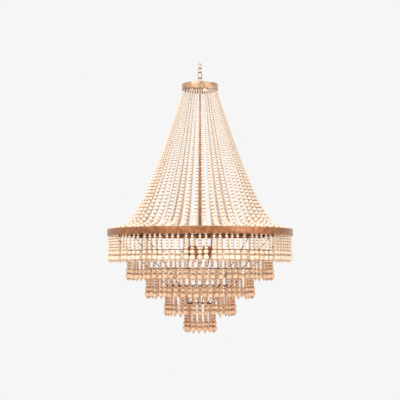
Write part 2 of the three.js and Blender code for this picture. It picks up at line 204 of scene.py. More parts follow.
def linear(red, green, blue):
    # a colour as it is read off a screen, from 0 to 255, as Blender's linear colour
    shares = np.array([red, green, blue]) / 255
    straight = np.where(shares <= 0.04045, shares / 12.92, ((shares + 0.055) / 1.055) ** 2.4)
    return (*[float(share) for share in straight], 1.0)


# Light and floor

studio = {
    "backdrop": (246, 246, 246),
    "ambient": 0.68,
    "floorHeight": -2.3,
    "floorHalfWidth": 30.0,
    "floorFade": (1.4, 3.6),  # distances from the stem between which the floor turns into backdrop
    "floorColour": (250, 249, 247),
    "target": (0, 0, -0.75),
    "lights": {
        "key": {"place": (-2.4, -3.4, 1.6), "width": 2.2, "watts": 118},
        "fill": {"place": (3.2, -2.6, 0.2), "width": 2.6, "watts": 50},
        "back": {"place": (0.8, 3.4, 1.2), "width": 2.6, "watts": 24},
    },
}


def addStudio():
    white, backdrop = (1, 1, 1, 1), linear(*studio["backdrop"])

    def unlit(finish, kind):
        # what is seen is the backdrop's colour, and what lights the object is a plain white
        gathered = finish.node(kind, {"Color": white, "Strength": studio["ambient"]})
        shown = finish.node(kind, {"Color": backdrop, "Strength": 1.0})
        return finish.node("MixShader", [finish.seen(), gathered, shown])

    world = Finish("studio", bpy.data.worlds)
    world.node("OutputWorld", {"Surface": unlit(world, "Background")})
    scene.world = world.owner

    half, height = studio["floorHalfWidth"], studio["floorHeight"]
    signs = np.array([[-1, -1, 0], [1, -1, 0], [1, 1, 0], [-1, 1, 0]])
    corners = signs * half + [0, 0, height]
    floor = bpy.data.objects.new("floor", makeMesh("floor", corners, [np.array([[0, 1, 2, 3]])]))
    scene.collection.objects.link(floor)
    finish = Finish("floor")
    matt = finish.node("BsdfDiffuse", {"Color": linear(*studio["floorColour"])})
    distance = finish.node("VectorMath", [finish.place(scale=(1, 1, 0))], "Value", operation="LENGTH")
    fade = distance.ramp(*studio["floorFade"])
    above = finish.node("MixShader", [fade, matt, unlit(finish, "Emission")])
    below = finish.node("BsdfTransparent", {"Color": white})
    fromBelow = finish.node("NewGeometry", output="Backfacing")
    finish.node("OutputMaterial", {"Surface": finish.node("MixShader", [fromBelow, above, below])})
    floor.data.materials.append(finish.owner)

    for name, source in studio["lights"].items():
        light = bpy.data.lights.new(name, "AREA")
        light.size = source["width"]
        light.energy = source["watts"]
        lamp = bpy.data.objects.new(name, light)
        scene.collection.objects.link(lamp)
        lamp.location = source["place"]
        towards = Vector(studio["target"]) - Vector(source["place"])
        lamp.rotation_euler = towards.to_track_quat("-Z", "Y").to_euler()


# Finishes. Each name ending in Edge is two values of a noise, between which what it draws comes up.

# Each wood's hole colour is partly a stain round the bead's hole and partly painted shade where beads meet
# on their thread.
beadWood = {
    "washedWood": {
        "light": (255, 252, 243),
        "deep": (250, 230, 203),
        "blush": (255, 238, 222),
        "grain": (226, 192, 152),
        "hole": (212, 150, 100),
        "grainStrength": 0.25,
    },
    "creamWood": {
        "light": (255, 248, 230),
        "deep": (246, 218, 182),
        "blush": (252, 229, 204),
        "grain": (222, 184, 140),
        "hole": (212, 158, 112),
        "grainStrength": 0.35,
    },
    "naturalWood": {
        "light": (255, 233, 204),
        "deep": (236, 190, 146),
        "blush": (248, 206, 172),
        "grain": (206, 152, 104),
        "hole": (158, 98, 60),
        "grainStrength": 0.45,
    },
    "blushShare": 0.6,
    "blushWaves": 97,  # how fast the blush comes and goes with a bead's tone
    "toneShift": (37.0, 91.0, 53.0),  # how far a bead's tone moves its grain
    "grainAcross": 5.0,  # lines across a bead
    "grainAlong": 0.7,
    "grainEdge": (0.42, 0.72),
    "leastGrain": 0.4,  # what is left of the grain between the clouds
    "cloudScale": 0.9,
    "roughness": (0.5, 0.72),
    "reliefDepth": 0.0003,
    "grainRelief": 0.6,  # the grain's share of the relief: the rest is clouds
    "holeHeights": (0.50, 0.95),  # on a bead of radius 1, the heights between which it darkens to its hole colour: partly a stain round the hole and partly painted shade of the joint between beads
    "holeStrength": 0.9,
}


def beadFinish(name):
    # Each bead carries its own place, from -1 to 1 on every axis, and its own tone, which also
    # moves the grain, so that no two beads show the same lines.
    wood = beadWood[name]
    finish = Finish(name)
    where = finish.node("Attribute", output="Vector", attribute_name="beadPlace")
    tone = finish.node("Attribute", output="Fac", attribute_name="beadTone")
    shift = finish.node("VectorMath", {0: beadWood["toneShift"], "Scale": tone}, operation="SCALE")
    moved = finish.node("VectorMath", [where, shift], operation="ADD")
    across, along = beadWood["grainAcross"], beadWood["grainAlong"]
    stretched = finish.node("Mapping", {"Vector": moved, "Scale": (across, along, along)})
    lines = finish.noise(stretched, 1.0, detail=4.0, roughness=0.6)
    clouds = finish.noise(moved, beadWood["cloudScale"], detail=1.0)
    colour = finish.blend(tone, wood["light"], wood["deep"])
    blush = (tone * beadWood["blushWaves"]).wave() * beadWood["blushShare"]
    colour = finish.blend(blush, colour, wood["blush"])
    grain = lines.ramp(*beadWood["grainEdge"]) * wood["grainStrength"] * (beadWood["leastGrain"] + clouds)
    colour = finish.blend(grain, colour, wood["grain"])
    # Towards both holes each bead darkens: partly a stain round the hole and partly painted shade of the
    # joints between beads.
    height = finish.node("SeparateXYZ", [where], "Z").size()
    hole = height.ramp(*beadWood["holeHeights"]) * beadWood["holeStrength"]
    colour = finish.blend(hole, colour, wood["hole"])
    relief = lines * beadWood["grainRelief"] + clouds * (1 - beadWood["grainRelief"])
    return finish.surface(colour, lines.between(*beadWood["roughness"]), relief, beadWood)


copper = {
    "crownCopper": {"light": (221, 188, 159), "main": (194, 152, 117), "deep": (122, 84, 60)},
    "bandCopper": {"light": (193, 131, 84), "main": (163, 100, 58), "deep": (102, 64, 44)},
    "stemCopper": {"light": (198, 154, 126), "main": (168, 124, 98), "deep": (118, 84, 66)},
    "streakScale": (16.0, 16.0, 1800.0),
    "streakEdge": (0.35, 0.7),
    "streakShare": 0.3,
    "mottleScale": 60.0,
    "mottleEdge": (0.38, 0.66),
    "spotEdge": (0.3, 0.55),  # of the same noise, where dark spots end
    "spotShare": 0.25,
    "patinaScale": 7.0,
    # The clouds' shift is set so that their dark patches fall at the bands' ends: partly patina and partly
    # painted shade of those ends.
    "patinaShift": (3.1, 0.4, 1.7),
    "patinaEdge": (0.45, 0.72),
    "patinaShare": 0.5,
    "patinaRoughness": 0.1,
    "roughness": (0.36, 0.54),
    "metallic": 0.95,
    "reliefDepth": 0.00008,
    "lacquer": (0.5, 0.25),
}


def brushedCopper(name):
    # Brushed around the bands: the noise changes fast with height and slowly along the wall.
    tones = copper[name]
    finish = Finish(name)
    streaks = finish.noise(finish.place(copper["streakScale"]), 1.0, detail=3.0, roughness=0.6)
    mottle = finish.noise(finish.place(), copper["mottleScale"], detail=4.0, roughness=0.65)
    # Slow clouds darken the walls: partly patina and partly painted shade, placed by their shift to fall at
    # the bands' ends.
    patinaShade = finish.noise(finish.place(shift=copper["patinaShift"]), copper["patinaScale"])
    colour = finish.blend(mottle.ramp(*copper["mottleEdge"]), tones["main"], tones["light"])
    spots = (1 - mottle.ramp(*copper["spotEdge"])) * copper["spotShare"]
    # Patina, painted shade at the bands' ends and dark spots together.
    worn = patinaShade.ramp(*copper["patinaEdge"]) * copper["patinaShare"] + spots
    colour = finish.blend(worn, colour, tones["deep"])
    brushed = streaks.ramp(*copper["streakEdge"]) * copper["streakShare"]
    colour = finish.blend(brushed, colour, tones["deep"])
    roughness = streaks.between(*copper["roughness"]) + patinaShade * copper["patinaRoughness"]
    return finish.surface(colour, roughness, streaks, copper)


bronze = {
    "frameBronze": {"main": (126, 70, 44), "worn": (172, 106, 70), "dark": (70, 38, 26)},
    "holderBronze": {"main": (186, 128, 92), "worn": (220, 166, 128), "dark": (126, 78, 54)},
    "grainScale": 120.0,
    "grainEdge": (0.4, 0.7),
    "cloudScale": 15.0,
    "cloudEdge": (0.35, 0.6),
    "darkShare": 0.6,
    "roughness": (0.42, 0.62),
    "metallic": 0.85,
    "reliefDepth": 0.0002,
}


def darkBronze(name):
    tones = bronze[name]
    finish = Finish(name)
    grain = finish.noise(finish.place(), bronze["grainScale"], detail=5.0, roughness=0.7)
    clouds = finish.noise(finish.place(), bronze["cloudScale"])
    colour = finish.blend(grain.ramp(*bronze["grainEdge"]), tones["main"], tones["worn"])
    shade = (1 - clouds.ramp(*bronze["cloudEdge"])) * bronze["darkShare"]
    colour = finish.blend(shade, colour, tones["dark"])
    return finish.surface(colour, clouds.between(*bronze["roughness"]), grain, bronze)


chainMetal = {
    "light": (222, 174, 152),
    "main": (190, 132, 106),
    "dark": (92, 54, 38),
    "grainScale": 260.0,
    "cloudScale": 52.0,
    "cloudEdge": (0.32, 0.55),
    "darkShare": 0.7,
    "roughness": (0.34, 0.49),
    "metallic": 0.95,
    "reliefDepth": 0.0001,
}


def chainCopper(name):
    finish = Finish(name)
    grain = finish.noise(finish.place(), chainMetal["grainScale"], detail=4.0, roughness=0.7)
    clouds = finish.noise(finish.place(), chainMetal["cloudScale"])
    colour = finish.blend(grain, chainMetal["main"], chainMetal["light"])
    tarnish = (1 - clouds.ramp(*chainMetal["cloudEdge"])) * chainMetal["darkShare"]
    colour = finish.blend(tarnish, colour, chainMetal["dark"])
    return finish.surface(colour, grain.between(*chainMetal["roughness"]), grain, chainMetal)


cord = {
    "light": (226, 200, 168),
    "dark": (150, 112, 78),
    "fibreScale": 900.0,
    "fibreStretch": (1, 1, 0.2),  # fibres run up and down
    "roughness": (0.7, 0.9),
    "reliefDepth": 0.0001,
}


def threadFinish(name):
    finish = Finish(name)
    fibres = finish.noise(finish.place(cord["fibreStretch"]), cord["fibreScale"], detail=3.0)
    colour = finish.blend(fibres, cord["dark"], cord["light"])
    return finish.surface(colour, fibres.between(*cord["roughness"]), fibres, cord)


slots = {
    "bead_pale": {"washedWood": beadFinish, "creamWood": beadFinish},
    "bead_natural": {"naturalWood": beadFinish, "thread": threadFinish},
    "band_copper": {"crownCopper": brushedCopper, "bandCopper": brushedCopper, "stemCopper": brushedCopper},
    "frame_bronze": {"frameBronze": darkBronze, "holderBronze": darkBronze},
    "chain_copper": {"chainCopper": chainCopper},
}
slotOf = {name: slot for slot, makers in slots.items() for name in makers}
finishes = {name: make(name) for makers in slots.values() for name, make in makers.items()}
print("finishes:", len(finishes))


# Surfaces. A part is a pair: its points, and its face sets, each with faces of equally many corners.


def makeMesh(name, points, faceSets, marks=None):
    # Everything goes in as whole arrays. Marks are numbers or vectors for every point, by name.
    corners = np.concatenate([faces.ravel() for faces in faceSets]).astype(np.int32)
    counts = np.concatenate([np.full(len(faces), faces.shape[1]) for faces in faceSets])
    starts = np.concatenate([[0], np.cumsum(counts)[:-1]]).astype(np.int32)
    mesh = bpy.data.meshes.new(name)
    mesh.vertices.add(len(points))
    mesh.vertices.foreach_set("co", np.asarray(points, np.float32).ravel())
    mesh.loops.add(len(corners))
    mesh.loops.foreach_set("vertex_index", corners)
    mesh.polygons.add(len(counts))
    mesh.polygons.foreach_set("loop_start", starts)
    mesh.polygons.foreach_set("use_smooth", np.ones(len(counts), bool))
    for mark, given in (marks or {}).items():
        isVector = given.ndim == 2
        layer = mesh.attributes.new(mark, "FLOAT_VECTOR" if isVector else "FLOAT", "POINT")
        layer.data.foreach_set("vector" if isVector else "value", given.astype(np.float32).ravel())
    mesh.update(calc_edges=True)
    mesh.validate()
    return mesh


def copied(faceSets, copies, size):
    # the faces of as many copies of a part of that many points
    firsts = (np.arange(copies) * size)[:, None, None]
    return [(faces[None] + firsts).reshape(-1, faces.shape[1]) for faces in faceSets]


def merged(parts):
    # one part out of several, its faces counted on past the points before them
    points = np.concatenate([part[0] for part in parts])
    firsts = np.cumsum([0] + [len(part[0]) for part in parts[:-1]])
    return points, [faces + first for (_, sets), first in zip(parts, firsts) for faces in sets]


def addPiece(name, groups, nodes=None, body="chandelier", marks=None, edge=None, bevel=None):
    # Groups are parts by finish. They share one mesh, which rides on a body and stands for nodes, or
    # for the node whose name it gets, without the underscores. The marks belong to the first group's
    # points, and the rest get zeros. An angle sharper than edge, in degrees, shows as an edge.
    solids = [merged(parts) for parts in groups.values()]
    points, faceSets = merged(solids)
    tailed = {}
    for mark, given in (marks or {}).items():
        rest = np.zeros((len(points) - len(given), *given.shape[1:]))
        tailed[mark] = np.concatenate([given, rest])
    nodes = [name] if nodes is None else nodes
    name = name.replace("_", "")
    piece = bpy.data.objects.new(name, makeMesh(name, points, faceSets, tailed))
    scene.collection.objects.link(piece)
    for finish in groups:
        piece.data.materials.append(finishes[finish])
    counts = [sum(len(faces) for faces in sets) for _, sets in solids]
    piece.data.polygons.foreach_set("material_index", np.repeat(np.arange(len(groups)), counts))
    if edge is not None:
        piece.data.set_sharp_from_angle(angle=math.radians(edge))
    if bevel is not None:
        modifier = piece.modifiers.new("bevel", "BEVEL")
        modifier.width = bevel
        modifier.segments = 2
        modifier.limit_method = "ANGLE"
    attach(piece, body)
    slotOf[next(iter(groups))]
    if nodes:
        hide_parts(*nodes)


def gridFaces(rows, columns, closed):
    # Quads between neighbouring rows, whose columns close round. Closed joins the last row to the
    # first.
    row = np.arange(rows if closed else rows - 1)[:, None]
    column = np.arange(columns)[None, :]
    after, beside = (row + 1) % rows, (column + 1) % columns
    here, there = row * columns, after * columns
    quads = [here + column, here + beside, there + beside, there + column]
    return np.stack(np.broadcast_arrays(*quads), -1).reshape(-1, 4)


def unit(vectors):
    # each vector over its own length
    return vectors / np.linalg.norm(vectors, axis=-1, keepdims=True)


def evenTurns(count, start=0.0):
    return start + np.arange(count) * 2 * math.pi / count


def circle(turns):
    # (cos t, sin t) for each turn
    return np.stack([np.cos(turns), np.sin(turns)], -1)


def turned(profile, segments, closed=True, start=0.0):
    # Turns a profile of (radius, height) about the axis: point = (radius cos t, radius sin t, height).
    # It runs anticlockwise with the radius to the right. An open one starts and ends on the axis.
    profile = np.asarray(profile, float)
    rings = profile if closed else profile[1:-1]
    flat = rings[:, None, :1] * circle(evenTurns(segments, start))[None]
    tall = np.broadcast_to(rings[:, None, 1:], (len(rings), segments, 1))
    points = np.concatenate([flat, tall], -1).reshape(-1, 3)
    faceSets = [gridFaces(len(rings), segments, closed)]
    if not closed:
        first, last = len(points), len(points) + 1
        points = np.concatenate([points, [[0, 0, profile[0, 1]], [0, 0, profile[-1, 1]]]])
        low = np.arange(segments)
        high = low + (len(rings) - 1) * segments
        faceSets.append(np.stack([np.full(segments, first), np.roll(low, -1), low], -1))
        faceSets.append(np.stack([np.full(segments, last), high, np.roll(high, -1)], -1))
    return points, faceSets


def softened(corners, radius, steps=3, closed=True):
    # Rounds an outline. Each corner becomes a curve between the points where it is cut, at most 0.45
    # of its shorter side away: (1-t)(1-t) start + 2t(1-t) corner + tt end. An open outline keeps its
    # first and last points.
    corners = np.asarray(corners, float)
    before = np.roll(corners, 1, 0) - corners
    after = np.roll(corners, -1, 0) - corners
    shortest = np.minimum(np.linalg.norm(before, axis=1), np.linalg.norm(after, axis=1))
    cut = np.minimum(radius, 0.45 * shortest)[:, None]
    start, end = corners + unit(before) * cut, corners + unit(after) * cut
    t = np.linspace(0, 1, steps + 1)[None, :, None]
    curve = (1 - t) ** 2 * start[:, None] + 2 * t * (1 - t) * corners[:, None] + t**2 * end[:, None]
    if closed:
        return curve.reshape(-1, 2)
    return np.concatenate([corners[:1], curve[1:-1].reshape(-1, 2), corners[-1:]])


def hoop(inner, outer, low, high, rounding, segments, steps=3):
    # a rectangle with rounded corners, turned about the axis
    outline = [[inner, low], [outer, low], [outer, high], [inner, high]]
    return turned(softened(outline, rounding, steps), segments)


def lathed(bottom, levels, rounding, segments):
    # A stack of drums with rounded edges: each level is a radius and the height up to which it goes.
    outline = [[0, bottom]]
    for radius, height in levels:
        outline += [[radius, outline[-1][1]], [radius, height]]
    outline.append([0, outline[-1][1]])
    return turned(softened(outline, rounding, closed=False), segments, closed=False)


def circleSection(radius, sides):
    return radius * circle(evenTurns(sides))


def carried(paths, normals, section, closed=False, swell=None):
    # Carries a section along each of several flat paths. The section's first axis lies square to the
    # path in the path's own plane, and its second along that plane's normal. Swell sizes it per step.
    paths = np.asarray(paths, float)
    copies, steps, _ = paths.shape
    sides = len(section)
    along = np.roll(paths, -1, 1) - np.roll(paths, 1, 1) if closed else np.gradient(paths, axis=1)
    along = unit(along)
    normal = np.broadcast_to(np.asarray(normals, float)[:, None], along.shape)
    across = unit(np.cross(normal, along))
    swell = np.ones(steps) if swell is None else np.asarray(swell, float)
    sized = section[None] * swell[:, None, None]
    points = paths[:, :, None] + across[:, :, None] * sized[None, :, :, :1]
    points = points + normal[:, :, None] * sized[None, :, :, 1:]
    faceSets = [gridFaces(steps, sides, closed)]
    if not closed:
        end = np.arange(sides)[None]
        faceSets += [end[:, ::-1], end + (steps - 1) * sides]
    return points.reshape(-1, 3), copied(faceSets, copies, steps * sides)


def spun(part, copies, start=0.0):
    # Repeats a part around the axis: each copy is (x cos t - y sin t, x sin t + y cos t, z).
    points, faceSets = part
    x, y, z = points.T
    cos, sin = circle(evenTurns(copies, start)).T[:, :, None]
    around = [cos * x - sin * y, sin * x + cos * y, np.broadcast_to(z, (copies, len(z)))]
    return np.stack(around, -1).reshape(-1, 3), copied(faceSets, copies, len(points))


def box(low, high):
    # a plain block between two corners: each of its own takes every axis from the one or the other
    low, high = np.asarray(low, float), np.asarray(high, float)
    base = [[0, 0], [1, 0], [1, 1], [0, 1]]
    bits = np.array([[*corner, level] for level in (0, 1) for corner in base])
    faces = [[0, 3, 2, 1], [4, 5, 6, 7], [0, 1, 5, 4], [1, 2, 6, 5], [2, 3, 7, 6], [3, 0, 4, 7]]
    return low + bits * (high - low), [np.array(faces)]


def standing(turns, out, up):
    # Points in upright planes through the axis, one plane for each turn: (out cos t, out sin t, up).
    turns = np.asarray(turns, float)[:, None]
    return np.stack(np.broadcast_arrays(np.cos(turns) * out, np.sin(turns) * out, up), -1)


def sideways(turns):
    # the level direction square to each of those planes: (-sin t, cos t, 0)
    turns = np.asarray(turns, float)
    return np.stack([-np.sin(turns), np.cos(turns), 0 * turns], -1)


addStudio()
print("studio: lit")


# Chain and crown

chain = {
    "links": {
        "chain_link_top": {"body": "chain_top", "wire": 0.0035, "turn": 45},
        "chain_link_middle": {"body": "chain_middle", "wire": 0.0035, "turn": -45},
        "chain_link_lower": {"body": "chain_lower", "wire": 0.004, "turn": 45},
    },
    "steps": 72,
    "sides": 18,
    "loopWire": 0.004,
    "loopTurn": -45,
    "collarRadius": 0.008,
    "collarHeight": 0.009,
    "collarRounding": 0.0008,
    "collarSegments": 48,
    "flangeRadius": 0.012,
    "flangeHeight": 0.003,
    "collarSink": 0.0015,  # how deep the eye sits in its collar
    "eyeClear": 0.001,  # how far over the collar the eye's width is taken
}


def linkTube(turn, wire, width, length, top):
    # a circle drawn out along its length: out = R cos a, up = R sin a plus or minus the stretch
    angle = evenTurns(chain["steps"])
    radius, stretch = (width - wire) / 2, (length - width) / 2
    up = radius * np.sin(angle) + stretch * np.sign(np.round(np.sin(angle), 6))
    path = standing([turn], radius * np.cos(angle), top - length / 2 + up)
    return carried(path, sideways([turn]), circleSection(wire / 2, chain["sides"]), closed=True)


def addChain():
    for name, link in chain["links"].items():
        low, high = span(name)
        turn = math.radians(link["turn"])
        left, right = span(name, (math.cos(turn), math.sin(turn), 0))
        tube = linkTube(turn, link["wire"], right - left, high - low, high)
        addPiece(name, {"chainCopper": [tube]}, body=link["body"])

    bottom, high = span("crown_loop")
    collarTop = bottom + chain["collarHeight"]
    turn = math.radians(chain["loopTurn"])
    points = pointsOf("crown_loop")
    eye = points[points[:, 2] > collarTop + chain["eyeClear"]] @ [math.cos(turn), math.sin(turn), 0]
    length = high - collarTop + chain["collarSink"]
    tube = linkTube(turn, chain["loopWire"], eye.max() - eye.min(), length, high)
    flange, collar = chain["flangeRadius"], chain["collarRadius"]
    step = bottom + chain["flangeHeight"]
    levels = [(flange, step), (collar, collarTop)]
    stand = lathed(bottom, levels, chain["collarRounding"], chain["collarSegments"])
    addPiece("crown_loop", {"chainCopper": [tube, stand]}, edge=60)
    print("chain: 3 links and the crown loop")


crown = {
    "wall": 0.003,
    "segments": 180,
    "edgeRadius": 0.0007,
    "bossRadius": 0.018,
    "spigotRadius": 0.0057,
    "spigotLength": 0.0163,
    "hubRounding": 0.001,
    "hubSegments": 64,
    "arms": 4,
    "armStart": 0.8,  # as a share of the boss's radius
    "armWidth": 0.010,
    "armHeight": 0.006,
    "armDrop": 0.013,  # from the crown band's top to the arms' top
    "bevel": 0.0006,
}


def addBand(name, wall, segments, finish):
    radius = offAxis(pointsOf(name)).max()
    band = hoop(radius - wall, radius, *span(name), crown["edgeRadius"], segments)
    addPiece(name, {finish: [band]}, edge=60)


def addCrown():
    addBand("crown_band", crown["wall"], crown["segments"], "crownCopper")
    hubLow, hubHigh = span("crown_hub")
    spigot, boss = crown["spigotRadius"], crown["bossRadius"]
    bossLow = hubLow + crown["spigotLength"]
    levels = [(spigot, bossLow), (boss, hubHigh)]
    drum = lathed(hubLow, levels, crown["hubRounding"], crown["hubSegments"])
    reach = span("crown_hub", (1, 0, 0))[1]
    armHigh = span("crown_band")[1] - crown["armDrop"]
    half = crown["armWidth"] / 2
    arm = box([boss * crown["armStart"], -half, armHigh - crown["armHeight"]], [reach, half, armHigh])
    groups = {"frameBronze": [drum, spun(arm, crown["arms"])]}
    addPiece("crown_hub", groups, edge=50, bevel=crown["bevel"])
    print("crown: band and hub")


# Stem, main band and spider

centre = {
    "stemWall": 0.0015,
    "stemRounding": 0.0004,
    "stemSegments": 48,
    "bandWall": 0.003,
    "bandSegments": 288,
    "armWidth": 0.010,
    "armHeight": 0.006,
    "arms": 4,
    "padWidth": 0.026,
    "padHeight": 0.012,
    "padThickness": 0.003,
    "collarInner": 0.0078,
    "collarOuter": 0.0138,
    "collarRounding": 0.0008,
    "collarSegments": 64,
    "armDrop": 0.005,  # from the collar's top to the arms' top
    "bevel": 0.0005,
}


def addCentre():
    radius = offAxis(pointsOf("stem")).max()
    wall, rounding, segments = centre["stemWall"], centre["stemRounding"], centre["stemSegments"]
    tube = hoop(radius - wall, radius, *span("stem"), rounding, segments)
    addPiece("stemTube", {"stemCopper": [tube]}, ["stem"], edge=60)
    addBand("main_band", centre["bandWall"], centre["bandSegments"], "bandCopper")

    low, high = span("band_spider")
    reach = span("band_spider", (math.sqrt(0.5), math.sqrt(0.5), 0))[1]
    armTop = high - centre["armDrop"]
    inner, outer = centre["collarInner"], centre["collarOuter"]
    collar = hoop(inner, outer, low, high, centre["collarRounding"], centre["collarSegments"])
    half, padHalf, thickness = centre["armWidth"] / 2, centre["padWidth"] / 2, centre["padThickness"]
    armLow, armEnd = armTop - centre["armHeight"], reach - thickness / 2
    arm = box([(inner + outer) / 2, -half, armLow], [armEnd, half, armTop])
    pad = box([reach - thickness, -padHalf, armTop - centre["padHeight"]], [reach, padHalf, armTop])
    turn = math.pi / centre["arms"]
    groups = {"frameBronze": [collar, spun(arm, centre["arms"], turn), spun(pad, centre["arms"], turn)]}
    addPiece("band_spider", groups, edge=50, bevel=centre["bevel"])
    print("centre: stem, main band and spider")


addChain()
addCrown()
addCentre()


# Beads

beadForm = {
    "sides": 10,
    "ringDegrees": (17, 52, 90, 128, 163),  # up from the middle of the lower hole
    "holeFloor": 0.84,  # how far up the hole's floor lies, on a bead of radius 1
    "wobble": 0.02,  # the play of a bead on its thread, in bead widths
    "tiltDegrees": 4,  # nearly all beads tilt less
    "heightShare": 0.985,  # a bead's height, as a share of the room that it takes on its thread
}


def beadCloud(centres, axes, widths, heights, tones, chance):
    # Every bead is a ball drawn from two angles: centre + across (width/2) sin p (cos t, sin t)
    # - axis (height/2) cos p, with the two poles sunk as the ends of its hole.
    count, floor = len(centres), beadForm["holeFloor"]
    polar = np.radians(beadForm["ringDegrees"])
    rings = np.stack([np.sin(polar), -np.cos(polar)], -1)
    template, faceSets = turned([[0, -floor], *rings, [0, floor]], beadForm["sides"], closed=False)
    place = template.copy()
    place[-2:, 2] = -1, 1
    tilt = math.radians(beadForm["tiltDegrees"])
    axes = unit(unit(axes) + chance.normal(0, tilt / 2, (count, 3)))
    side = unit(np.cross(axes, unit(chance.normal(0, 1, (count, 3)))))
    third = np.cross(axes, side)
    half = np.stack([widths / 2, widths / 2, heights * beadForm["heightShare"] / 2], -1)
    centres = centres + chance.uniform(-0.5, 0.5, (count, 3)) * (beadForm["wobble"] * widths)[:, None]
    frames = np.stack([side, third, axes], 1) * half[:, :, None]
    points = centres[:, None] + np.einsum("pk,nkc->npc", template, frames)
    marks = {"beadPlace": np.tile(place, (count, 1)), "beadTone": np.repeat(tones, len(template))}
    return (points.reshape(-1, 3), copied(faceSets, count, len(template))), marks


hookForm = {
    "wire": 0.0013,
    "sides": 6,
    "loopSteps": 9,
    "loopDegrees": (-50, 250),  # where the loop starts and ends, from straight out
    "straightShare": 0.6,  # how far down the shank it has grown straight
    "clearance": 0.0004,  # between the hook and the wire that it goes round
    "beadReach": 0.001,  # how far it goes into the bead next to it
    "ringRounding": 0.0005,  # of the wire ring's edges
}


def hooks(turns, radius, height, wire, shanks, lean=0.0):
    # A hook goes round the ring's wire, (out, up) = loop (cos a, sin a), and its shank leaves below.
    loop = wire / 2 + hookForm["clearance"] + hookForm["wire"] / 2
    angles = np.radians(np.linspace(*hookForm["loopDegrees"], hookForm["loopSteps"]))
    around = loop * circle(angles)
    ends = np.outer(np.broadcast_to(shanks, len(turns)), [math.sin(lean), -math.cos(lean)])
    straight = ends[:, None] * np.array([hookForm["straightShare"], 1])[:, None]
    path = np.concatenate([np.broadcast_to(around, (len(turns), *around.shape)), straight], 1)
    paths = standing(turns, radius + path[..., 0], height + path[..., 1])
    return carried(paths, sideways(turns), circleSection(hookForm["wire"] / 2, hookForm["sides"]))


def ringTube(radius, height, wire, segments):
    half, rounding = wire / 2, hookForm["ringRounding"]
    return hoop(radius - half, radius + half, height - half, height + half, rounding, segments, 2)


# Drape

drape = {
    "strands": 48,
    "wire": 0.004,
    "ringSegments": (96, 192),
    "crownInset": 0.0095,  # from the crown band's outer radius in to the hanger ring
    "topBead": 0.0055,
    "bottomBead": 0.024,
    "growth": 1.15,
    "topLeanDegrees": 17.5,
    "endRiseDegrees": 26,
    "topHandle": 1.16,  # the curve's handles, as shares of its drop
    "endHandle": 0.148,
    "routeSteps": 600,
    "topHook": 0.0045,  # from the ring to the first bead
    "bareBeads": 3,  # the most that a strand lacks at its top, where its hook is longer
    "bareChance": 0.12,
    "endHook": 0.006,
    "sizeSpread": 0.05,
    "sway": 0.010,  # of the strand's radius
    "threadWidth": 0.0012,
    "threadSteps": 40,
    "strandTone": 0.3,
    "beadTone": 0.7,
    "toneChance": (1.3, 3.0),  # of a beta law, whose low values come most often
    "lowTone": 0.3,  # how much deeper the colour is at the bottom
    "arcs": 4,
}


def drapeRoute():
    # One cubic curve in (radius, height), from the crown's hanger ring to the main band's: (1-t)^3
    # start + 3 (1-t)^2 t afterStart + 3 (1-t) t^2 beforeEnd + t^3 end.
    half = drape["wire"] / 2
    crownRadius = offAxis(pointsOf("crown_band")).max()
    start = np.array([crownRadius - drape["crownInset"], span("drape_arc")[1] - half])
    points = pointsOf("drape_arc")
    distance = offAxis(points)
    outermost = points[distance > distance.max() - half / 2]
    end = np.array([distance.max() - half, outermost[:, 2].min() + half])
    drop = start[1] - end[1]
    lean, rise = math.radians(drape["topLeanDegrees"]), math.radians(drape["endRiseDegrees"])
    afterStart = start + drape["topHandle"] * drop * np.array([math.sin(lean), -math.cos(lean)])
    beforeEnd = end + drape["endHandle"] * drop * np.array([-math.cos(rise), math.sin(rise)])
    t = np.linspace(0, 1, drape["routeSteps"])[:, None]
    curve = (1 - t) ** 3 * start + 3 * (1 - t) ** 2 * t * afterStart
    return curve + 3 * (1 - t) * t**2 * beforeEnd + t**3 * end


